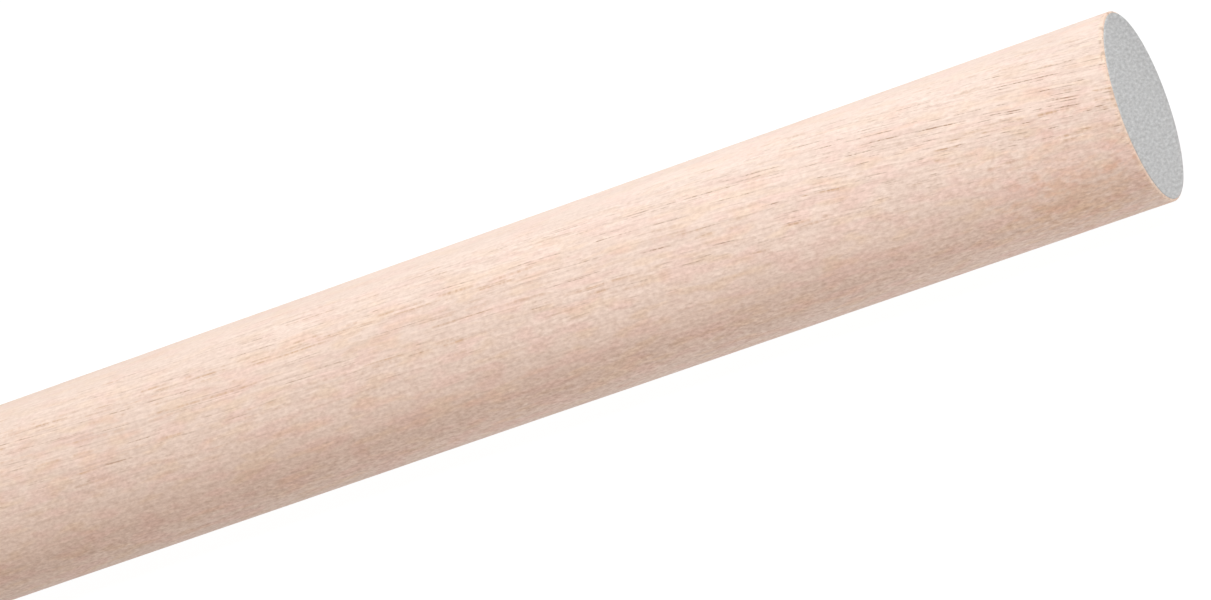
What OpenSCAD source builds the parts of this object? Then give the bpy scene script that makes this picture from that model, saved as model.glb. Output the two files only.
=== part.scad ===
// Wooden dowel rod: one straight round stick of pale hardwood, turned and sanded smooth.
// Both ends are sawn square and their sharp edges are eased. One end wears a flat grey
// coat of marking paint, the other is bare wood.
// The rod lies along X with the middle of its bare end at the origin, so the painted end
// looks along +X. All sizes are in millimetres.

/* [Rod] */
// Diameter of the turned wood
rod_diameter = 25.4; // [6:0.1:50]
// Length of the wood, from the bare sawn end to the end under the paint
rod_length = 914.4; // [60:0.1:1830]

/* [Ends] */
// Radius of the round that eases the edge of each end
edge_ease = 0.3; // [0.1:0.05:1]

/* [Paint] */
// Thickness of the dried coat on the painted end
paint_thickness = 0.15; // [0.05:0.01:0.5]

/* [Hidden] */

rod_radius = rod_diameter / 2;
// The coat covers the flat of the sawn end and stops where the eased edge begins.
paint_radius = rod_radius - edge_ease;

pale_wood = [0.95, 0.86, 0.80];
grey_paint = [0.755, 0.753, 0.750];

$fn = 96;

// Turns a drawing, made with its radius along X and its length along Y, about the rod's
// axis, and lays it along +X from the given station.
module turned_along_x(from) {
    translate([from, 0, 0]) rotate([90, 0, 90]) rotate_extrude() children();
}

// What sanding takes off one corner: the square round the corner, less the round that stays.
// The corner stands at [ease, ease] from the centre of the round.
module corner_waste(ease) {
    difference() {
        square(2 * ease);
        circle(r = ease);
    }
}

// Half section of the rod: a long rectangle with the outer corner of each end rounded.
module rod_half_section() {
    difference() {
        square([rod_radius, rod_length]);
        translate([rod_radius - edge_ease, rod_length - edge_ease]) corner_waste(edge_ease);
        translate([rod_radius - edge_ease, edge_ease]) mirror([0, 1]) corner_waste(edge_ease);
    }
}

// Half section of the coat: it thins out at its rim in a round as high as the coat.
module paint_half_section() {
    difference() {
        square([paint_radius, paint_thickness]);
        translate([paint_radius - paint_thickness, 0]) corner_waste(paint_thickness);
    }
}

module rod() {
    color(pale_wood) turned_along_x(from = 0) rod_half_section();
}

module end_paint() {
    color(grey_paint) turned_along_x(from = rod_length) paint_half_section();
}

rod();
end_paint();
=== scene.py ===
"""Finish, light and view of a round hardwood dowel rod with one painted end.

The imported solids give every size. Two turned pieces stand for them: the bare wood and the thin
coat of marking paint on its end. Both come from one Geometry Nodes tree that turns a half section
about the X axis. The wood is a solid pattern that follows the fibres through the whole rod, so the
streaks along its side and the pores on its sawn end belong together.

Lengths are metres, unless a name ends in _mm, and all are mm inside the wood's pattern. Angles are
degrees.
"""

import logging
import math
from dataclasses import dataclass
from enum import Enum

import bpy
from bpy.types import Material, Node, NodeSocket, NodeTree, Object
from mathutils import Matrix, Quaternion, Vector


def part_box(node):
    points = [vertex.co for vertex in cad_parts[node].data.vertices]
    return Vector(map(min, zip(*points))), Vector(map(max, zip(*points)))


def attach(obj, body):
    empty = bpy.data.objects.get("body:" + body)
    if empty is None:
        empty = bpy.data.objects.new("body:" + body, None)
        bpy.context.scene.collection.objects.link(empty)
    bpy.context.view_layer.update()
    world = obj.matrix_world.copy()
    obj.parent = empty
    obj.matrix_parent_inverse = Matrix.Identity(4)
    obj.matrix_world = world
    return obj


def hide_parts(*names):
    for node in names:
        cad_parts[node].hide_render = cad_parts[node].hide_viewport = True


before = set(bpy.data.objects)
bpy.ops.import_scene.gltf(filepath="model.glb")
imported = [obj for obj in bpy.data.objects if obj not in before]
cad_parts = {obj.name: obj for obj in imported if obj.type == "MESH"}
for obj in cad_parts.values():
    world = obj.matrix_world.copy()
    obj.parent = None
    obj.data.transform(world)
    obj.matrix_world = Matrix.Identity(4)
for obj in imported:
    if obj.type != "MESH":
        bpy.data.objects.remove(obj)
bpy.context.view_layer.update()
MM = 0.001
NOISE_REACH = 0.25  # Most of an even noise lies this close to 0.5.

log = logging.getLogger("dowel")


class Body(Enum):
    """What a piece is carried by."""

    ROOT = "root"


class Stock(Enum):
    """The solids that the turned pieces stand for."""

    ROD = "rod"
    END_PAINT = "end_paint"


class Slot(Enum):
    """The finishes that the record names."""

    HARDWOOD = "pale_hardwood"
    GREY_PAINT = "grey_paint"


# ---------------------------------------------------------------------------------------------
# Node trees
# ---------------------------------------------------------------------------------------------


@dataclass(frozen=True)
class Field:
    """A number, place or colour that changes over a piece. Arithmetic with it adds nodes."""

    canvas: "Canvas"
    socket: NodeSocket

    def __add__(self, other: "Feed") -> "Field":
        """Adds to it."""
        return self.canvas.math("ADD", self, other)

    def __sub__(self, other: "Feed") -> "Field":
        """Takes from it."""
        return self.canvas.math("SUBTRACT", self, other)

    def __rsub__(self, other: "Feed") -> "Field":
        """Takes it from a plain value."""
        return self.canvas.math("SUBTRACT", other, self)

    def __mul__(self, other: "Feed") -> "Field":
        """Multiplies it."""
        return self.canvas.math("MULTIPLY", self, other)

    def __truediv__(self, other: "Feed") -> "Field":
        """Divides it."""
        return self.canvas.math("DIVIDE", self, other)

    def __rtruediv__(self, other: "Feed") -> "Field":
        """Divides a plain value by it."""
        return self.canvas.math("DIVIDE", other, self)

    def split(self) -> tuple["Field", ...]:
        """Takes a place or a colour apart into its three numbers."""
        return tuple(self.canvas.node("ShaderNodeSeparateXYZ", (self,)).values())

    def drawn_out(self, across: float, along: float) -> "Field":
        """Turns a place into cells of a pattern, which are long in X."""
        return self * (1.0 / along, 1.0 / across, 1.0 / across)

    def noise(self, size: "Feed" = 1.0, detail: float = 2.0, rough: float = 0.5) -> "Field":
        """Reads an even noise about 0.5 at a place.

        Args:
            size: Width of its largest cells, in the units of the place.
            detail: How many finer layers it has.
            rough: How strong the finer layers are.

        Returns:
            The noise, mostly between 0.25 and 0.75.
        """
        feeds = {"Vector": self, "Scale": 1.0 / size, "Detail": detail, "Roughness": rough}
        return self.canvas.field("ShaderNodeTexNoise", feeds)

    def swing(self, length: float, reach: float) -> "Field":
        """Wanders to and fro about 0, up to the reach each way, as the place moves on."""
        return (self.noise(length, detail=0.0) - 0.5) * (reach / NOISE_REACH)

    def mix(self, first: "Feed", second: "Feed") -> "Field":
        """Mixes two colours by this share of the second one."""
        return self.canvas.field("ShaderNodeMix", (self, first, second), data_type="RGBA")

    def tint(self, colour: "Feed", tint: "Feed") -> "Field":
        """Multiplies a colour by a tint, as far as this share."""
        return self.mix(colour, self.canvas.math("MULTIPLY", colour, tint))

    def bump(self, strength: float, depth_mm: float) -> "Field":
        """Turns a height into a normal. The depth is that of a height of 1."""
        feeds = {"Strength": strength, "Distance": depth_mm * MM, "Height": self}
        return self.canvas.field("ShaderNodeBump", feeds)


Colour = tuple[float, float, float]
Feed = Field | float | str | tuple
Feeds = dict[str, Feed] | tuple[Feed, ...]
Outputs = dict[str, Field]


def holds_three(value: Feed) -> bool:
    """Tells a place or a colour from a number."""
    return isinstance(value, tuple) or (isinstance(value, Field) and value.socket.type in ("VECTOR", "RGBA"))


@dataclass(frozen=True)
class Canvas:
    """A node tree that fields are made in."""

    tree: NodeTree

    def fill(self, node: Node, feeds: Feeds) -> None:
        """Feeds a node's inputs.

        Args:
            node: The node.
            feeds: What its inputs get, by name, or in the order of the inputs in use.
        """
        if isinstance(feeds, dict):
            pairs = [(node.inputs[name], value) for name, value in feeds.items()]
        else:
            pairs = zip([socket for socket in node.inputs if socket.enabled], feeds)
        for socket, value in pairs:
            if isinstance(value, Field):
                self.tree.links.new(value.socket, socket)
            elif isinstance(value, float) and socket.type == "VECTOR":
                socket.default_value = (value,) * 3
            else:
                socket.default_value = (*value, 1.0) if socket.type == "RGBA" else value

    def node(self, kind: str, feeds: Feeds = (), **settings: object) -> Outputs:
        """Adds a node.

        Args:
            kind: Blender's name of the node type.
            feeds: What its inputs get.
            settings: Properties to set on the node.

        Returns:
            Its outputs in use, by name.
        """
        made = self.tree.nodes.new(kind)
        for name, value in settings.items():
            setattr(made, name, value)
        self.fill(made, feeds)
        return {socket.name: Field(self, socket) for socket in made.outputs if socket.enabled}

    def field(self, kind: str, feeds: Feeds = (), **settings: object) -> Field:
        """Adds a node and takes its first output in use."""
        return next(iter(self.node(kind, feeds, **settings).values()))

    def group(self, tree: NodeTree, feeds: Feeds) -> Outputs:
        """Adds a shader node group."""
        return self.node("ShaderNodeGroup", feeds, node_tree=tree)

    def math(self, operation: str, *values: Feed, clamp: bool = False) -> Field:
        """Adds a Math node, or a Vector Math node where a value is a place or a colour.

        Args:
            operation: The operation, such as MINIMUM.
            values: One feed for each input.
            clamp: Whether a number that results is kept between 0 and 1.

        Returns:
            The result.
        """
        if any(holds_three(value) for value in values):
            return self.field("ShaderNodeVectorMath", values, operation=operation)
        return self.field("ShaderNodeMath", values, operation=operation, use_clamp=clamp)

    def combine(self, x: Feed, y: Feed, z: Feed) -> Field:
        """Joins three numbers into a place."""
        return self.field("ShaderNodeCombineXYZ", (x, y, z))


@dataclass(frozen=True)
class Ramp:
    """A smooth change from a low to a high number between a start and an end, which may lie below it."""

    start: Feed
    end: Feed
    low: float = 0.0
    high: float = 1.0

    def __call__(self, value: Field) -> Field:
        """Maps a number."""
        feeds = (value, self.start, self.end, self.low, self.high)
        return value.canvas.field("ShaderNodeMapRange", feeds, interpolation_type="SMOOTHSTEP")


def new_group(name: str, inputs: dict[str, float | None], outputs: tuple[str, ...]) -> tuple[Canvas, Outputs]:
    """Makes an empty shader node group with its sockets.

    Args:
        name: Name of the group.
        inputs: Each input's name and first value, where None makes it a vector.
        outputs: The outputs' names.

    Returns:
        A canvas on the group's tree, and the inputs as its nodes read them.
    """
    tree = bpy.data.node_groups.new(name, "ShaderNodeTree")
    for title, value in inputs.items():
        kind = "NodeSocketVector" if value is None else "NodeSocketFloat"
        made = tree.interface.new_socket(title, in_out="INPUT", socket_type=kind)
        if value is not None:
            made.default_value = value
    for title in outputs:
        tree.interface.new_socket(title, in_out="OUTPUT", socket_type="NodeSocketFloat")
    canvas = Canvas(tree)
    return canvas, canvas.node("NodeGroupInput")


def new_material(name: str) -> tuple[Material, Canvas, Node]:
    """Makes a material.

    Args:
        name: Name of the material.

    Returns:
        The material, a canvas on its tree, and its Principled BSDF.
    """
    made = bpy.data.materials.new(name)
    made.use_nodes = True
    return made, Canvas(made.node_tree), made.node_tree.nodes["Principled BSDF"]


@dataclass(frozen=True)
class VesselPattern:
    """Open vessels, the thin tubes that hardwood is full of.

    Each vessel runs along the fibres. Where the surface cuts it lengthwise it shows as a dash, and
    where the surface cuts across it, as a round pore. Every vessel has its own width and depth. It
    opens and closes along its run, and is beaded, as its cells are short. Each reads the noise for
    that at a far place of its own.
    """

    run_apart: tuple[float, float] = (97.0, 53.0)
    bead_apart: tuple[float, float] = (61.0, 37.0)
    run_detail: float = 2.6
    run_rough: float = 0.62
    opens: Ramp = Ramp(0.40, 0.62)
    beads: Ramp = Ramp(0.36, 0.58, 0.40, 1.0)
    widths: Ramp = Ramp(0.0, 1.0, 0.6, 1.2)
    hollow_core: float = 0.4
    halo_core: float = 0.8
    halo_reach: float = 3.2

    def build(self) -> NodeTree:
        """Builds the group.

        Returns:
            The group, with the masks of the hollow and of the stained wood round it, and a number
            from 0 to 1 that is the same all over one vessel.
        """
        canvas, given = new_group(
            "open_vessels",
            {"Place": None, "Spacing": 0.6, "Radius": 0.1, "Run": 4.0, "Bead": 0.5, "Least": 0.2},
            ("Hollow", "Halo", "Chance"),
        )
        back, rise, side = given["Place"].split()
        feeds = {"Vector": canvas.combine(rise, side, 0.0), "Scale": 1.0 / given["Spacing"]}
        cells = canvas.node("ShaderNodeTexVoronoi", feeds, voronoi_dimensions="2D", feature="F1")
        away = cells["Distance"] * given["Spacing"]
        width_chance, depth_chance, run_chance = cells["Color"].split()
        run, bead = (
            canvas.combine(run_chance * along + back / given[length], width_chance * across, 0.0)
            for length, (along, across) in (("Run", self.run_apart), ("Bead", self.bead_apart)))
        opened = self.opens(run.noise(1.0, self.run_detail, self.run_rough))
        beaded = self.beads(bead.noise(detail=0.0))
        depth = Ramp(given["Least"], 1.0)(depth_chance) * (opened * beaded)
        reach = given["Radius"] * self.widths(width_chance)
        hollow = Ramp(reach, reach * self.hollow_core)(away)
        halo = Ramp(reach * self.halo_reach, reach * self.halo_core)(away)
        results = {"Hollow": hollow * depth, "Halo": halo * depth, "Chance": width_chance}
        canvas.node("NodeGroupOutput", results)
        return canvas.tree


def mottle_group() -> NodeTree:
    """Builds the group for fine mottle, the small uneven patches of a sanded or brushed surface.

    Returns:
        The group, with a factor about 1 for a colour and a height from 0 to 1.
    """
    inputs = {"Place": None, "Cell": 0.4, "Contrast": 0.05}
    canvas, given = new_group("fine_mottle", inputs, ("Factor", "Height"))
    height = given["Place"].noise(given["Cell"], rough=0.6)
    factor = (height - 0.5) * (given["Contrast"] / NOISE_REACH) + 1.0
    canvas.node("NodeGroupOutput", {"Factor": factor, "Height": height})
    return canvas.tree


@dataclass(frozen=True)
class SharedEffects:
    """The shader node groups that both finishes use."""

    vessels: NodeTree
    mottle: NodeTree

    @classmethod
    def build(cls) -> "SharedEffects":
        """Builds each group once."""
        return cls(VesselPattern().build(), mottle_group())


# ---------------------------------------------------------------------------------------------
# What the wood is made of
# ---------------------------------------------------------------------------------------------


@dataclass(frozen=True)
class Wood(Canvas):
    """A material's tree, with where its points lie in the wood.

    Attributes:
        fibre: Place with X along the fibres.
        plain: Place with X straight back from the painted end. It holds back, rise and side.
        back: Distance from the painted end.
        rise: Distance from the axis along the plane of the fibres.
        side: Distance from the axis across that plane.
        sawn: 1 on the bare sawn face and 0 past its eased edge.
    """

    fibre: Field
    plain: Field
    back: Field
    rise: Field
    side: Field
    sawn: Field


@dataclass(frozen=True)
class GrainLay:
    """How the fibres run through the rod.

    They keep to one plane that leans back from upright. Near the painted end they cross the rod's
    axis at a steep slope that soon eases to a gentle one.
    """

    painted_end: float
    lean: float = 25.0
    gentle_slope: float = 0.035
    extra_end_slope: float = 0.115
    slope_reach_mm: float = 55.0
    wander_mm: float = 0.8
    wander_length_mm: float = 90.0
    kink_mm: float = 0.06
    kink_length_mm: float = 6.0
    sawn_face: Ramp = Ramp(0.22, 0.03)

    def wood(self, canvas: Canvas) -> Wood:
        """Finds where the points of a material lie in the wood.

        Args:
            canvas: A canvas on the material's tree.

        Returns:
            The tree with their place.
        """
        x, y, z = (canvas.node("ShaderNodeTexCoord")["Object"] * (1.0 / MM)).split()
        back = self.painted_end / MM - x
        cosine, sine = math.cos(math.radians(self.lean)), math.sin(math.radians(self.lean))
        rise, side = y * cosine + z * sine, z * cosine - y * sine
        plain = canvas.combine(back, rise, side)
        wander = canvas.combine(back, 0.0, 0.0).swing(self.wander_length_mm, self.wander_mm)
        kink = plain.swing(self.kink_length_mm, self.kink_mm)
        left_to_ease = canvas.math("EXPONENT", back / -self.slope_reach_mm)
        steep = (1.0 - left_to_ease) * (self.extra_end_slope * self.slope_reach_mm)
        drift = back * self.gentle_slope + steep
        fibre = canvas.combine(back, rise - drift + (wander + kink), side + kink)
        return Wood(canvas.tree, fibre, plain, back, rise, side, self.sawn_face(x))


@dataclass(frozen=True)
class VesselKind:
    """One kind of vessel: how close, how wide and how long they are open, and how dark.

    The shift keeps it apart from the other kinds.
    """

    spacing_mm: float
    radius_mm: float
    run_mm: float
    least: float
    depth: float
    shift_mm: tuple[float, float, float] = (0.0, 0.0, 0.0)

    def place(self, wood: Wood, group: NodeTree) -> Outputs:
        """Puts this kind's vessels into a material.

        Args:
            wood: The material's tree.
            group: The vessels group.

        Returns:
            The group's outputs, by name.
        """
        return wood.group(group, {
            "Place": wood.fibre + self.shift_mm,
            "Spacing": self.spacing_mm, "Radius": self.radius_mm, "Run": self.run_mm, "Least": self.least,
        })


@dataclass(frozen=True)
class Patches:
    """Soft tinted patches drawn out along the fibres."""

    across_mm: float
    along_mm: float
    spread: Ramp
    tint: Colour

    def over(self, wood: Wood, colour: Feed, strength: Field) -> Field:
        """Tints a colour where the patches lie.

        Args:
            wood: The material's tree.
            colour: The colour so far.
            strength: How strong the patches are, from 0 to 1.

        Returns:
            The tinted colour.
        """
        noise = wood.fibre.drawn_out(self.across_mm, self.along_mm).noise(detail=1.5)
        return (self.spread(noise) * strength).tint(colour, self.tint)


@dataclass(frozen=True)
class Stain:
    """A ragged patch on the low side of the rod, near its painted end."""

    back_mm: float
    side_mm: float
    half_length_mm: float
    half_width_mm: float
    tint: Colour
    rag_across_mm: float = 0.9
    rag_along_mm: float = 1.8
    raggedness: float = 4.0
    spread: Ramp = Ramp(1.3, 0.2)
    low_side: Ramp = Ramp(0.0, -6.0)

    def over(self, wood: Wood, colour: Field) -> Field:
        """Tints a colour where the stain lies.

        Args:
            wood: The material's tree.
            colour: The colour so far.

        Returns:
            The tinted colour.
        """
        along = (wood.back - self.back_mm) / self.half_length_mm
        across = (wood.side - self.side_mm) / self.half_width_mm
        out = wood.math("LENGTH", wood.combine(along, across, 0.0))
        ragged = (wood.plain.drawn_out(self.rag_across_mm, self.rag_along_mm).noise() - 0.5) * self.raggedness
        return (self.spread(out + ragged) * self.low_side(wood.rise)).tint(colour, self.tint)


@dataclass(frozen=True)
class EdgeGlowAndNotches:
    """The narrow pale band at the very edge of the painted end, which is a painted glow, with small brown
    notches in it.
    """

    band: Ramp = Ramp(1.15, 0.65)
    ragged_mm: float = 0.8
    # Tint of the painted glow.
    pale: Colour = (1.02, 1.0, 0.95)
    notch_cell_mm: float = 1.4
    notches: Ramp = Ramp(0.55, 0.64)
    notch_reach: Ramp = Ramp(0.7, 0.3)
    upper_side: Ramp = Ramp(-8.0, -3.0, 0.0, 0.5)

    def over(self, wood: Wood, colour: Field, notch: Colour) -> Field:
        """Adds the painted glow band and the notches to a colour.

        Args:
            wood: The material's tree.
            colour: The colour so far.
            notch: Colour of the notches.

        Returns:
            The colour.
        """
        # Painted glow: the wood is made paler and warmer within about a millimetre of the painted end.
        ragged = wood.plain.noise(self.ragged_mm, detail=1.0) * self.ragged_mm
        glowing = self.band(ragged + wood.back).tint(colour, self.pale)
        notched = self.notches(wood.plain.noise(self.notch_cell_mm, detail=1.0)) * self.notch_reach(wood.back)
        return (notched * self.upper_side(wood.rise)).mix(glowing, notch)


@dataclass(frozen=True)
class SlowToneAndFalloff:
    """A slow change of tone along the rod, partly the wood's own and partly painted light falloff, deeper on
    its low side as painted shade, and a slight random one across it.
    """

    start_mm: float = 10.0
    length_mm: float = 420.0
    # Painted shade: the darkening is deeper on the low side.
    depth: Ramp = Ramp(2.0, -10.0, 0.12, 0.175)
    tint: Colour = (1.005, 0.985, 0.960)
    broad_across_mm: float = 4.0
    broad_along_mm: float = 22.0
    broad: Ramp = Ramp(0.25, 0.75, 0.98, 1.02)

    def over(self, wood: Wood, colour: Field) -> Field:
        """Changes a colour's tone, with painted light falloff and painted shade.

        Args:
            wood: The material's tree.
            colour: The colour so far.

        Returns:
            The colour.
        """
        # Partly painted light falloff: darkest about 220 mm back from the painted end, and a little warmer
        # where darker.
        turned = (wood.back - self.start_mm) * (math.tau / self.length_mm)
        share = wood.math("COSINE", turned) * -0.5 + 0.5
        tone_and_falloff = 1.0 - self.depth(wood.rise) * share
        broad = wood.fibre.drawn_out(self.broad_across_mm, self.broad_along_mm).noise(detail=1.0)
        return share.tint(colour * (tone_and_falloff * self.broad(broad)), self.tint)


@dataclass(frozen=True)
class GrowthLayers:
    """The faint growth layers, and the fine rays across them that the sawn end shows."""

    pith_rise_mm: float = 30.0
    pith_side_mm: float = 55.0
    ring_mm: float = 2.3
    uneven_across_mm: float = 9.0
    uneven_along_mm: float = 80.0
    unevenness: float = 1.1
    late_wood: Ramp = Ramp(0.50, 0.95)
    ring_edge: Ramp = Ramp(1.0, 0.96)
    strength: Ramp = Ramp(0.0, 1.0, 0.03, 0.12)
    rays_round: float = 300.0
    ray_length_mm: float = 4.0
    ray_strength: float = 0.22

    def factor(self, wood: Wood) -> Field:
        """Works out how the layers and rays change the tone.

        Args:
            wood: The material's tree.

        Returns:
            A factor about 1.
        """
        _, rise, side = wood.fibre.split()
        rise, side = rise + self.pith_rise_mm, side + self.pith_side_mm
        out = wood.math("LENGTH", wood.combine(0.0, rise, side))
        uneven = wood.fibre.drawn_out(self.uneven_across_mm, self.uneven_along_mm).noise()
        phase = wood.math("FRACT", uneven * self.unevenness + out / self.ring_mm)
        late = self.late_wood(phase) * self.ring_edge(phase)
        layers = 1.0 - late * self.strength(wood.sawn)
        round_pith = wood.math("ARCTAN2", rise, side) * self.rays_round
        rays = wood.combine(round_pith, out / self.ray_length_mm, 0.0).noise(detail=1.0)
        return layers * ((rays - 0.5) * wood.sawn * self.ray_strength + 1.0)


@dataclass(frozen=True)
class Richness:
    """How rich in vessels the wood is, which changes round the rod and along it."""

    flat_face: Ramp = Ramp(7.2, 12.6, 0.27, 1.34)
    calm_top: Ramp = Ramp(7.0, 1.5, 0.33, 1.0)
    toward_paint: Ramp = Ramp(100.0, 10.0, 0.88, 1.17)
    cluster: Ramp = Ramp(66.0, 22.0, -0.13, 0.42)
    cluster_low: Ramp = Ramp(-6.0, -3.0)
    cluster_high: Ramp = Ramp(4.5, 1.0)
    edge: Ramp = Ramp(2.0, 0.8, 0.0, 0.8)
    on_sawn_end: float = 0.8

    def factor(self, wood: Wood) -> Field:
        """Works out how strongly the vessels show.

        Args:
            wood: The material's tree.

        Returns:
            A factor, from about a tenth to about 2.
        """
        around = self.flat_face(wood.math("ABSOLUTE", wood.side)) * self.calm_top(wood.rise)
        middle = self.cluster_low(wood.rise) * self.cluster_high(wood.rise)
        gain = self.cluster(wood.back) * middle + self.toward_paint(wood.back)
        on_side = wood.math("MAXIMUM", around * gain, self.edge(wood.back))
        return wood.math("MAXIMUM", on_side, wood.sawn * self.on_sawn_end)


@dataclass(frozen=True)
class FineTexture:
    """The thin fibre streaks and the speckle between them. Their dark parts are warmer too."""

    streak_across_mm: float = 0.30
    streak_along_mm: float = 8.0
    streak_rough: float = 0.55
    streak_depth: Ramp = Ramp(0.3, 1.2, 0.24, 0.42)
    speckle_mm: float = 0.40
    speckle_stretch: float = 1.8
    speckle_by_rise: Ramp = Ramp(-3.0, -10.0, 0.105, 0.165)
    speckle_by_side: Ramp = Ramp(6.0, 1.0, 1.0, 1.35)
    calm_top: Ramp = Ramp(7.5, 2.5, 0.55, 1.0)
    tint: Colour = (0.80, 1.06, 1.22)

    def streak(self, wood: Wood) -> Field:
        """Reads the noise of the streaks."""
        place = wood.fibre.drawn_out(self.streak_across_mm, self.streak_along_mm)
        return place.noise(rough=self.streak_rough)

    def factor(self, wood: Wood, streak: Field, rich: Field, mottle: NodeTree) -> Field:
        """Works out how the texture changes a colour.

        Args:
            wood: The material's tree.
            streak: The noise of the streaks.
            rich: How rich in vessels the wood is.
            mottle: The fine mottle group.

        Returns:
            A colour about white.
        """
        speckle = wood.group(mottle, {
            "Place": wood.plain.drawn_out(1.0, self.speckle_stretch),
            "Cell": self.speckle_mm,
            "Contrast": self.speckle_by_rise(wood.rise) * self.speckle_by_side(wood.side),
        })["Factor"]
        both = (streak - 0.5) * self.streak_depth(rich) + (speckle - 1.0)
        return both * self.calm_top(wood.rise) * self.tint + 1.0


@dataclass(frozen=True)
class WoodRelief:
    """The small relief: sunk vessels, raised fibres and the saw's marks on the bare end."""

    strength: float = 0.35
    depth_mm: float = 0.05
    fibres: float = 0.5
    saw_marks: float = 0.18
    tooth_mm: float = 0.7
    bow_per_mm: float = 0.006

    def normal(self, wood: Wood, hollow: Field, streak: Field) -> Field:
        """Works out the normal.

        Args:
            wood: The material's tree.
            hollow: Mask of the vessels.
            streak: The noise of the streaks.

        Returns:
            The normal.
        """
        bowed = wood.side + wood.rise * wood.rise * self.bow_per_mm
        saw = wood.math("SINE", bowed * (math.tau / self.tooth_mm)) * wood.sawn * self.saw_marks
        return (streak * self.fibres - hollow + saw).bump(self.strength, self.depth_mm)


# ---------------------------------------------------------------------------------------------
# Finishes
# ---------------------------------------------------------------------------------------------


@dataclass(frozen=True)
class HardwoodFinish:
    """Bare sanded hardwood: pale, faintly pink, with brown vessel dashes and a fine speckle."""

    lay: GrainLay
    effects: SharedEffects
    cream: Colour = (0.838, 0.666, 0.577)
    brown: Colour = (0.44, 0.265, 0.175)
    rust: Colour = (0.61, 0.385, 0.25)
    sawn_tan: Colour = (0.90, 0.80, 0.70)
    coarse: VesselKind = VesselKind(spacing_mm=0.41, radius_mm=0.138, run_mm=3.5, least=0.12, depth=0.86)
    fine: VesselKind = VesselKind(
        spacing_mm=0.27, radius_mm=0.090, run_mm=4.4, least=0.34, depth=0.86, shift_mm=(37.0, 11.3, 5.7))
    hair: VesselKind = VesselKind(
        spacing_mm=0.19, radius_mm=0.050, run_mm=5.0, least=0.20, depth=0.45, shift_mm=(71.0, 3.9, 17.1))
    crowd_across_mm: float = 1.6
    crowd_along_mm: float = 12.0
    crowds: Ramp = Ramp(0.34, 0.56, 0.3, 1.0)
    rusty: Ramp = Ramp(0.30, 0.60)
    halo: float = 0.45
    pink: Patches = Patches(across_mm=2.0, along_mm=5.0, spread=Ramp(0.45, 0.67), tint=(1.0, 0.942, 0.949))
    straw: Patches = Patches(across_mm=1.5, along_mm=5.0, spread=Ramp(0.49, 0.69), tint=(0.996, 0.970, 0.910))
    # Partly painted shade: the pink and straw patches grow stronger on the low side, warming the shaded side
    # as well as showing real blotches.
    patch_and_shade_strength: Ramp = Ramp(4.5, -4.0, 0.55, 1.0)
    brown_stain: Stain = Stain(
        back_mm=9.5, side_mm=2.0, half_length_mm=7.5, half_width_mm=5.0, tint=(0.955, 0.90, 0.83))
    pink_stain: Stain = Stain(
        back_mm=9.0, side_mm=8.0, half_length_mm=7.5, half_width_mm=3.5, tint=(1.0, 0.955, 0.955))
    edge_glow_and_notches: EdgeGlowAndNotches = EdgeGlowAndNotches()
    slow_tone_and_falloff: SlowToneAndFalloff = SlowToneAndFalloff()
    layers: GrowthLayers = GrowthLayers()
    richness: Richness = Richness()
    texture: FineTexture = FineTexture()
    relief: WoodRelief = WoodRelief()
    roughness: Ramp = Ramp(0.25, 0.75, 0.58, 0.74)
    ior: float = 1.42

    def material(self) -> Material:
        """Builds the material.

        Returns:
            The finished material.
        """
        made, canvas, shader = new_material("bare_hardwood")
        wood = self.lay.wood(canvas)
        rich = self.richness.factor(wood)
        streak = self.texture.streak(wood)
        colour, hollow = self.dashes(wood, self.ground(wood), rich)
        colour = colour * self.texture.factor(wood, streak, rich, self.effects.mottle)
        canvas.fill(shader, {
            "Base Color": wood.sawn.tint(colour, self.sawn_tan),
            "Roughness": self.roughness(streak),
            "Normal": self.relief.normal(wood, hollow, streak),
            "IOR": self.ior,
        })
        return made

    def ground(self, wood: Wood) -> Field:
        """Works out the wood's colour before its vessels and fibres, with painted light falloff along the
        rod, painted shade on its low side and a painted glow at the painted end's edge.

        Args:
            wood: The material's tree.

        Returns:
            The colour.
        """
        # The patches' strength is partly painted warm shade on the low side.
        colour, strength = self.cream, self.patch_and_shade_strength(wood.rise)
        for patches in (self.pink, self.straw):
            colour = patches.over(wood, colour, strength)
        for stain in (self.brown_stain, self.pink_stain):
            colour = stain.over(wood, colour)
        colour = self.edge_glow_and_notches.over(wood, colour, self.brown)
        return self.slow_tone_and_falloff.over(wood, colour) * self.layers.factor(wood)

    def dashes(self, wood: Wood, colour: Field, rich: Field) -> tuple[Field, Field]:
        """Adds the vessel dashes, coarse and fine, with a rusty stain round some of them.

        Args:
            wood: The material's tree.
            colour: The colour so far.
            rich: How rich in vessels the wood is.

        Returns:
            The colour, and the mask of the coarse hollows.
        """
        coarse = self.coarse.place(wood, self.effects.vessels)
        crowd = wood.fibre.drawn_out(self.crowd_across_mm, self.crowd_along_mm).noise(detail=1.0)
        share = self.crowds(crowd) * rich
        rusty = self.rusty(coarse["Chance"])
        colour = (coarse["Halo"] * share * rusty * self.halo).mix(colour, self.rust)
        for kind in (self.fine, self.hair):
            slight = kind.place(wood, self.effects.vessels)["Hollow"] * (rich * kind.depth)
            colour = slight.mix(colour, self.brown)
        hollow = coarse["Hollow"] * share
        return (hollow * self.coarse.depth).mix(colour, rusty.mix(self.brown, self.rust)), hollow


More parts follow.
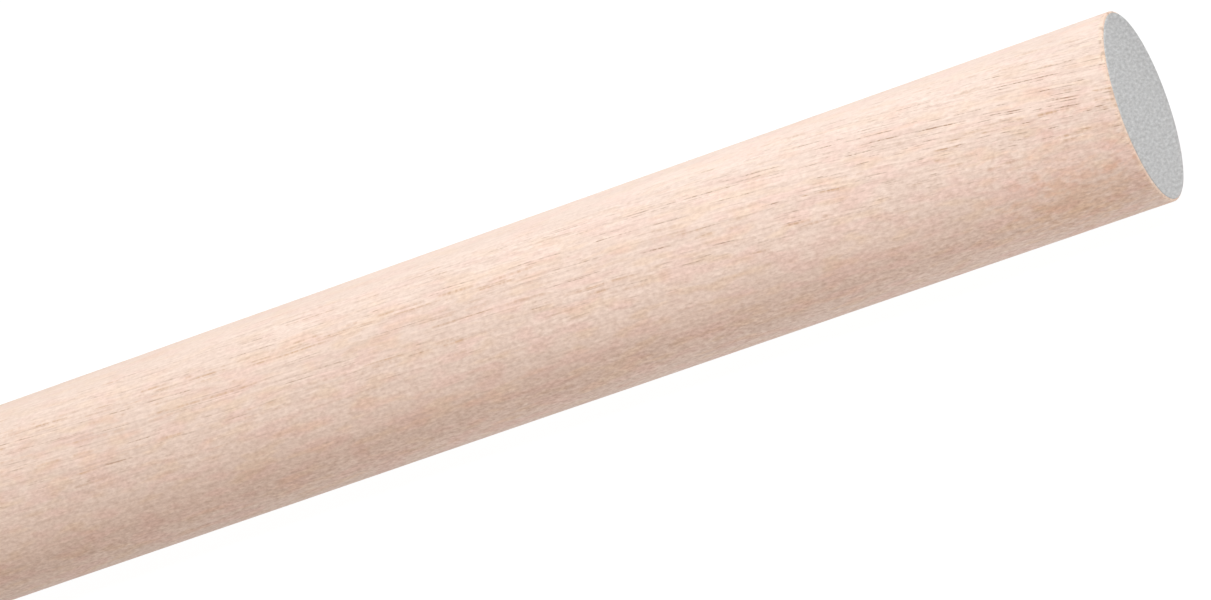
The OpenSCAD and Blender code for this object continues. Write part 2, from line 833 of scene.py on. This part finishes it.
@dataclass(frozen=True)
class GreyPaintFinish:
    """A thin coat of flat grey paint, brushed on end grain that still shows through it."""

    lay: GrainLay
    effects: SharedEffects
    grey: Colour = (0.540, 0.542, 0.543)
    stroke_turn: float = 55.0
    stroke_stretch: float = 4.0
    mottle_mm: float = 0.38
    mottle_contrast: float = 0.25
    # Painted shade: the grey is darkened towards the top of the end face, standing in for less light there.
    painted_shade_upward: Ramp = Ramp(2.0, 12.0, 1.005, 0.945)
    pores: VesselKind = VesselKind(spacing_mm=0.56, radius_mm=0.14, run_mm=3.2, least=0.3, depth=0.12)
    roughness: Ramp = Ramp(0.3, 0.7, 0.62, 0.78)
    relief: float = 0.3
    relief_mm: float = 0.05
    ior: float = 1.45

    def material(self) -> Material:
        """Builds the material.

        Returns:
            The finished material.
        """
        made, canvas, shader = new_material("flat_grey_paint")
        wood = self.lay.wood(canvas)
        pores = self.pores.place(wood, self.effects.vessels)["Hollow"]
        mottle = wood.group(self.effects.mottle, {
            "Place": self.strokes(wood), "Cell": self.mottle_mm, "Contrast": self.mottle_contrast,
        })
        # The tone holds the real mottle and pores, and the painted shade towards the top.
        tone = mottle["Factor"] * self.painted_shade_upward(wood.rise) - pores * self.pores.depth
        canvas.fill(shader, {
            "Base Color": tone * self.grey,
            "Roughness": self.roughness(mottle["Height"]),
            "Normal": (mottle["Height"] - pores).bump(self.relief, self.relief_mm),
            "IOR": self.ior,
        })
        return made

    def strokes(self, wood: Wood) -> Field:
        """Draws a place out along the brush strokes.

        Args:
            wood: The material's tree.

        Returns:
            The place in the strokes, shorter along them.
        """
        cosine, sine = math.cos(math.radians(self.stroke_turn)), math.sin(math.radians(self.stroke_turn))
        along, across = wood.side * sine - wood.rise * cosine, wood.rise * sine + wood.side * cosine
        return wood.combine(along / self.stroke_stretch, across, 0.0)


# ---------------------------------------------------------------------------------------------
# Turned pieces
# ---------------------------------------------------------------------------------------------


class TurningTree:
    """The Geometry Nodes tree that turns a half section with rounded corners about the X axis.

    It bends a flat grid round. Each row of the grid becomes a ring, from the middle of the start
    cap, over its rounded corner and the side, to the middle of the end cap.

    Attributes:
        canvas: A canvas on the tree.
        given: The tree's inputs, by name.
        last: Number of the last row.
        exact_row: A point's row, which for a face lies between two whole numbers.
        row: A point's row as a whole number.
        near: Number of rows from the nearer end.
        share: A point's share of a turn.
        cosine: Cosine of its turn.
        sine: Sine of its turn.
        at_start: 1 on the half towards the piece's start, and 0 on the other.
        at_end: 1 on the half towards the piece's end, and 0 on the other.
        cap: 0 at the middle of a cap, and 1 at its rim and past it.
        corner: 0 on a cap, 1 on the side, and between them on the rounded corner.
    """

    FLOATS = ("Start", "Length", "Radius", "Start Round", "End Round", "Side Relief", "Relief Width",
              "Relief Length", "End Relief", "End Relief Width", "Seed", "Cap Square", "Soft Caps")
    WHOLES = ("Cap Rings", "Round Rings", "Body Rings", "Segments")
    BAKE_MAP = "OFBake"
    # How much of its square, strip and turn each part of the flat map fills, so that none touch.
    CAP_FILL = 0.47
    STRIP_FILL = 0.99
    TURN_FILL = 0.98
    MERGE_REACH = 0.002 * MM
    RELIEF_SPAN = Ramp(0.25, 0.75)
    RIM = Ramp(1.0, 0.96)

    def __init__(self) -> None:
        """Builds the tree."""
        self.canvas = canvas = Canvas(bpy.data.node_groups.new("turned_piece", "GeometryNodeTree"))
        self.name_sockets()
        self.given = given = canvas.node("NodeGroupInput")
        self.last = (given["Cap Rings"] + given["Round Rings"]) * 2.0 + given["Body Rings"]
        x, y, _ = canvas.field("GeometryNodeInputPosition").split()
        self.exact_row = (x + 0.5) * self.last
        self.row = canvas.math("ROUND", self.exact_row)
        self.near = canvas.math("MINIMUM", self.row, self.last - self.row)
        self.share = y + 0.5
        angle = self.share * math.tau
        self.cosine, self.sine = canvas.math("COSINE", angle), canvas.math("SINE", angle)
        self.at_start = canvas.math("LESS_THAN", self.row, self.last * 0.5)
        self.at_end = 1.0 - self.at_start
        self.cap = canvas.math("DIVIDE", self.near, given["Cap Rings"], clamp=True)
        self.corner = canvas.math("DIVIDE", self.near - given["Cap Rings"], given["Round Rings"], clamp=True)
        self.finish(self.turned(self.laid_flat(self.grid())))

    def name_sockets(self) -> None:
        """Makes the tree's inputs and its output."""
        kinds = {name: "NodeSocketFloat" for name in self.FLOATS}
        kinds |= {name: "NodeSocketInt" for name in self.WHOLES} | {"Finish": "NodeSocketMaterial"}
        for name, kind in kinds.items():
            self.canvas.tree.interface.new_socket(name, in_out="INPUT", socket_type=kind)
        self.canvas.tree.interface.new_socket("Geometry", in_out="OUTPUT", socket_type="NodeSocketGeometry")

    def grid(self) -> Field:
        """Makes the flat grid, 1 by 1."""
        feeds = (1.0, 1.0, self.last + 1.0, self.given["Segments"] + 1.0)
        return self.canvas.field("GeometryNodeMeshGrid", feeds)

    def laid_flat(self, grid: Field) -> Field:
        """Gives each face its place in the flat map, and makes the sides smooth.

        The caps lie side by side in two squares, and the side lies above them in two long strips.

        Args:
            grid: The flat grid.

        Returns:
            The grid with its map.
        """
        canvas, given = self.canvas, self.given
        caps, square = given["Cap Rings"], given["Cap Square"]
        face_row = canvas.field(
            "GeometryNodeFieldOnDomain", (self.exact_row,), domain="FACE", data_type="FLOAT")
        start_cap = canvas.math("LESS_THAN", face_row, caps)
        end_cap = canvas.math("GREATER_THAN", face_row, self.last - caps)
        on_cap = canvas.math("MAXIMUM", start_cap, end_cap)
        reach = self.near / caps * (square * self.CAP_FILL)
        cap_place = canvas.combine(
            reach * self.cosine + square * (end_cap + 0.5), reach * self.sine + square * 0.5, 0.0)
        far_half = canvas.math("GREATER_THAN", face_row, self.last * 0.5)
        along = (self.row - caps) / (self.last - caps * 2.0) * 2.0 - far_half
        around = (1.0 - square) * 0.5 * (far_half + self.share * self.TURN_FILL)
        margin = (1.0 - self.STRIP_FILL) / 2
        side_place = canvas.combine(along * self.STRIP_FILL + margin, around + square, 0.0)
        place = canvas.field("ShaderNodeMix", (on_cap, side_place, cap_place), data_type="VECTOR")
        feeds = {"Geometry": grid, "Name": self.BAKE_MAP, "Value": place}
        mapped = canvas.field("GeometryNodeStoreNamedAttribute", feeds, data_type="FLOAT2", domain="CORNER")
        soft = canvas.math("GREATER_THAN", 1.0 - on_cap + given["Soft Caps"], 0.5)
        return canvas.field("GeometryNodeSetShadeSmooth", {"Geometry": mapped, "Shade Smooth": soft})

    def turned(self, grid: Field) -> Field:
        """Bends the grid round to the turned piece.

        Args:
            grid: The flat grid.

        Returns:
            The turned mesh, closed along its seam and at the middles of its caps.
        """
        canvas, given = self.canvas, self.given
        start_round, end_round = given["Start Round"], given["End Round"]
        rounding = start_round * self.at_start + end_round * self.at_end
        bend = self.corner * (math.pi / 2)
        radius = rounding * canvas.math("SINE", bend) + (given["Radius"] - rounding) * self.cap
        first_body = given["Cap Rings"] + given["Round Rings"]
        along = canvas.math("DIVIDE", self.row - first_body, given["Body Rings"], clamp=True)
        straight = given["Length"] - start_round - end_round
        station = along * straight + (given["Start"] + start_round)
        station = station + rounding * canvas.math("COSINE", bend) * (self.at_end - self.at_start)
        radius = radius - self.side_relief(station)
        station = station - self.end_relief(radius)
        feeds = {"Geometry": grid, "Position": self.ring(station, radius)}
        moved = canvas.field("GeometryNodeSetPosition", feeds)
        return canvas.field("GeometryNodeMergeByDistance", {"Geometry": moved, "Distance": self.MERGE_REACH})

    def ring(self, station: Field, radius: Field) -> Field:
        """Finds a point's place on the ring at a station along X."""
        return self.canvas.combine(station, radius * self.cosine, radius * self.sine)

    def side_relief(self, station: Field) -> Field:
        """Works out how far sanding has sunk the side below the full radius.

        Args:
            station: Place along X.

        Returns:
            The depth.
        """
        along = station / self.given["Relief Length"] + self.given["Seed"]
        place = self.ring(along, self.given["Radius"] / self.given["Relief Width"])
        return self.RELIEF_SPAN(place.noise()) * self.given["Side Relief"] * self.corner

    def end_relief(self, radius: Field) -> Field:
        """Works out how far the brush has left the end face below its highest point.

        Args:
            radius: Distance from the axis.

        Returns:
            The depth.
        """
        place = self.ring(self.given["Seed"], radius / self.given["End Relief Width"])
        return self.RELIEF_SPAN(place.noise()) * self.given["End Relief"] * (self.RIM(self.cap) * self.at_end)

    def finish(self, mesh: Field) -> None:
        """Ends the tree: faces outwards, real geometry and its material.

        Args:
            mesh: The turned mesh.
        """
        outwards = self.canvas.field("GeometryNodeFlipFaces", {"Mesh": mesh})
        real = self.canvas.field("GeometryNodeRealizeInstances", {"Geometry": outwards})
        feeds = {"Geometry": real, "Material": self.given["Finish"]}
        painted = self.canvas.field("GeometryNodeSetMaterial", feeds)
        self.canvas.node("NodeGroupOutput", {"Geometry": painted})

    def turn(self, name: str, sizes: dict[str, float], finish: Material) -> Object:
        """Turns one piece and leaves it as a plain mesh.

        Args:
            name: The piece's name.
            sizes: The tree's inputs, by name.
            finish: The piece's material.

        Returns:
            The piece, at the origin.
        """
        piece = bpy.data.objects.new(name, bpy.data.meshes.new(name))
        bpy.context.scene.collection.objects.link(piece)
        lathe = piece.modifiers.new("turning", "NODES")
        lathe.node_group = self.canvas.tree
        for socket in self.canvas.tree.interface.items_tree:
            if socket.in_out == "INPUT":
                lathe[socket.identifier] = finish if socket.name == "Finish" else sizes[socket.name]
        depsgraph = bpy.context.evaluated_depsgraph_get()
        mesh = bpy.data.meshes.new_from_object(
            piece.evaluated_get(depsgraph), preserve_all_data_layers=True, depsgraph=depsgraph)
        piece.modifiers.remove(lathe)
        piece.data = mesh
        mesh.name = name
        mesh.materials.clear()
        mesh.materials.append(finish)
        return piece


@dataclass(frozen=True)
class DowelRod:
    """The rod and its coat of paint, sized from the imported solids.

    The coat's rim rounds off most of its thickness, the share coat_rim.
    """

    radius: float
    length: float
    edge_round: float
    coat: float
    coat_rim: float = 0.9

    @classmethod
    def from_solids(cls) -> "DowelRod":
        """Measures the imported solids.

        Returns:
            The rod's sizes.
        """
        low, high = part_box(Stock.ROD.value)
        paint_low, paint_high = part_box(Stock.END_PAINT.value)
        radius = (high.y - low.y) / 2
        return cls(
            radius=radius,
            length=high.x - low.x,
            edge_round=radius - (paint_high.y - paint_low.y) / 2,
            coat=paint_high.x - paint_low.x,
        )

    def wood(self, tree: TurningTree, finish: Material) -> Object:
        """Turns the bare wood, whose side keeps a trace of the sanding.

        Args:
            tree: The turning tree.
            finish: The wood's material.

        Returns:
            The piece.
        """
        sizes = {
            "Start": 0.0, "Length": self.length, "Radius": self.radius,
            "Start Round": self.edge_round, "End Round": self.edge_round,
            "Side Relief": 0.03 * MM, "Relief Width": 1.8 * MM, "Relief Length": 22.0 * MM,
            "End Relief": 0.0, "End Relief Width": 1.0 * MM, "Seed": 3.0,
            "Cap Square": 0.09, "Soft Caps": 0.0,
            "Cap Rings": 8, "Round Rings": 4, "Body Rings": 620, "Segments": 128,
        }
        return self.declared(tree.turn("turned_wood", sizes, finish), Stock.ROD, Slot.HARDWOOD)

    def paint(self, tree: TurningTree, finish: Material) -> Object:
        """Makes the paint coat on the wood's end, which keeps a trace of the brush.

        Args:
            tree: The turning tree.
            finish: The paint's material.

        Returns:
            The piece.
        """
        sizes = {
            "Start": self.length, "Length": self.coat, "Radius": self.radius - self.edge_round,
            "Start Round": 0.0, "End Round": self.coat * self.coat_rim,
            "Side Relief": 0.0, "Relief Width": 1.0 * MM, "Relief Length": 1.0 * MM,
            "End Relief": 0.035 * MM, "End Relief Width": 0.8 * MM, "Seed": 8.0,
            "Cap Square": 0.48, "Soft Caps": 1.0,
            "Cap Rings": 48, "Round Rings": 3, "Body Rings": 2, "Segments": 160,
        }
        return self.declared(tree.turn("brushed_coat", sizes, finish), Stock.END_PAINT, Slot.GREY_PAINT)

    @staticmethod
    def declared(piece: Object, stock: Stock, slot: Slot) -> Object:
        """Carries a piece on the root body, hides the solid that it stands for, and reports it.

        Args:
            piece: The piece.
            stock: The solid that it stands for.
            slot: The finish that it wears. Not used.

        Returns:
            The piece.
        """
        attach(piece, Body.ROOT.value)
        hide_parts(stock.value)
        log.info("%s: %d faces", piece.name, len(piece.data.polygons))
        return piece


# ---------------------------------------------------------------------------------------------
# Stage, light and view
# ---------------------------------------------------------------------------------------------


@dataclass(frozen=True)
class Stage:
    """A plain white floor that the rod lies on, and the white room round it.

    To the camera both are white. What they throw onto the rod is set apart from that.
    """

    level: float
    half_width: float = 8.0
    floor_shade: Colour = (0.09, 0.09, 0.09)
    floor_white: Colour = (0.96, 0.96, 0.96)
    floor_light: Colour = (0.677, 0.682, 0.681)
    room_white: Colour = (1.0, 1.0, 1.0)
    room_light: Colour = (0.485, 0.247, 0.106)

    def build(self) -> None:
        """Makes the floor and the room."""
        self.floor()
        self.room()

    def floor(self) -> None:
        """Makes the floor, which gives off most of its white so that only a faint shadow shows."""
        corners = [(x * self.half_width, y * self.half_width, self.level)
                   for x, y in ((-1, -1), (1, -1), (1, 1), (-1, 1))]
        mesh = bpy.data.meshes.new("floor")
        mesh.from_pydata(corners, [], [(0, 1, 2, 3)])
        floor = bpy.data.objects.new("floor", mesh)
        bpy.context.scene.collection.objects.link(floor)
        material, canvas, shader = new_material("white_floor")
        seen = canvas.node("ShaderNodeLightPath")["Is Camera Ray"]
        canvas.fill(shader, {
            "Base Color": self.floor_shade,
            "Specular IOR Level": 0.0,
            "Emission Color": seen.mix(self.floor_light, self.floor_white),
            "Emission Strength": 1.0,
        })
        mesh.materials.append(material)

    def room(self) -> None:
        """Lights the rod evenly from all round, and shows white behind it."""
        world = bpy.data.worlds.new("white_room")
        world.use_nodes = True
        bpy.context.scene.world = world
        canvas = Canvas(world.node_tree)
        seen = canvas.node("ShaderNodeLightPath")["Is Camera Ray"]
        colour = seen.mix(self.room_light, self.room_white)
        canvas.fill(world.node_tree.nodes["Background"], {"Color": colour})


@dataclass(frozen=True)
class Softbox:
    """One large soft lamp, hung at some distance from what it is aimed at."""

    name: str
    away: Vector
    sides: tuple[float, float]
    watts: float
    colour: Colour

    def hang(self, aim: Vector) -> None:
        """Hangs the lamp.

        Args:
            aim: The point that it is aimed at.
        """
        lamp = bpy.data.lights.new(self.name, "AREA")
        lamp.shape = "RECTANGLE"
        lamp.size, lamp.size_y = self.sides
        lamp.energy = self.watts
        lamp.color = self.colour
        holder = bpy.data.objects.new(self.name, lamp)
        holder.location = aim + self.away
        holder.rotation_mode = "QUATERNION"
        holder.rotation_quaternion = (-self.away).to_track_quat("-Z", "Y")
        holder.visible_camera = False
        bpy.context.scene.collection.objects.link(holder)


def light_rod(rod: DowelRod) -> None:
    """Hangs a long lamp over the rod, a second one behind it and a small one facing each end.

    Args:
        rod: The rod.
    """
    bare_end, painted_end = Vector(), Vector((rod.length, 0.0, 0.0))
    middle = (bare_end + painted_end) / 2
    long_box, small_box, end_colour = (2.6, 0.45), (0.6, 0.6), (0.747, 1.0, 1.166)
    Softbox("overhead", Vector((0.0, -0.285, 1.063)), long_box, 16.9, (0.757, 1.0, 1.134)).hang(middle)
    Softbox("behind", Vector((0.0, 0.901, 0.631)), long_box, 7.36, (0.680, 1.0, 1.200)).hang(middle)
    Softbox("facing_paint", Vector((1.2, -0.2, 0.2)), small_box, 5.24, end_colour).hang(painted_end)
    Softbox("facing_bare_end", Vector((-1.2, -0.2, 0.2)), small_box, 4.6, end_colour).hang(bare_end)


@dataclass(frozen=True)
class Viewpoint:
    """A long lens held above the rod's side, looking at its painted end and leaning over."""

    aim: Vector
    azimuth: float = 22.04
    elevation: float = 28.21
    roll: float = -30.05
    distance: float = 0.8401
    lens_mm: float = 191.9
    film_mm: float = 36.0

    def build(self) -> None:
        """Sets the scene's camera."""
        turn, lift = math.radians(self.azimuth), math.radians(self.elevation)
        back = Vector((math.sin(turn) * math.cos(lift), -math.cos(turn) * math.cos(lift), math.sin(lift)))
        lens = bpy.data.cameras.new("long_lens")
        lens.lens, lens.sensor_width = self.lens_mm, self.film_mm
        lens.clip_start, lens.clip_end = 0.05, 60.0
        camera = bpy.data.objects.new("camera", lens)
        camera.location = self.aim + back * self.distance
        camera.rotation_mode = "QUATERNION"
        level = (-back).to_track_quat("-Z", "Y")
        camera.rotation_quaternion = level @ Quaternion((0.0, 0.0, 1.0), math.radians(self.roll))
        bpy.context.scene.collection.objects.link(camera)
        bpy.context.scene.camera = camera


def set_tones() -> None:
    """Shows colours as they are, with no film curve."""
    view = bpy.context.scene.view_settings
    view.view_transform, view.look = "Standard", "None"


def main() -> None:
    """Builds the rod, its stage, its light and the view."""
    logging.basicConfig(level=logging.INFO, format="%(name)s: %(message)s")
    rod = DowelRod.from_solids()
    effects = SharedEffects.build()
    lay = GrainLay(painted_end=rod.length)
    tree = TurningTree()
    rod.wood(tree, HardwoodFinish(lay, effects).material())
    rod.paint(tree, GreyPaintFinish(lay, effects).material())
    Stage(level=-rod.radius).build()
    light_rod(rod)
    Viewpoint(aim=Vector((rod.length - 76.5 * MM, -0.4 * MM, -0.7 * MM))).build()
    set_tones()


if __name__ == "__main__":
    main()
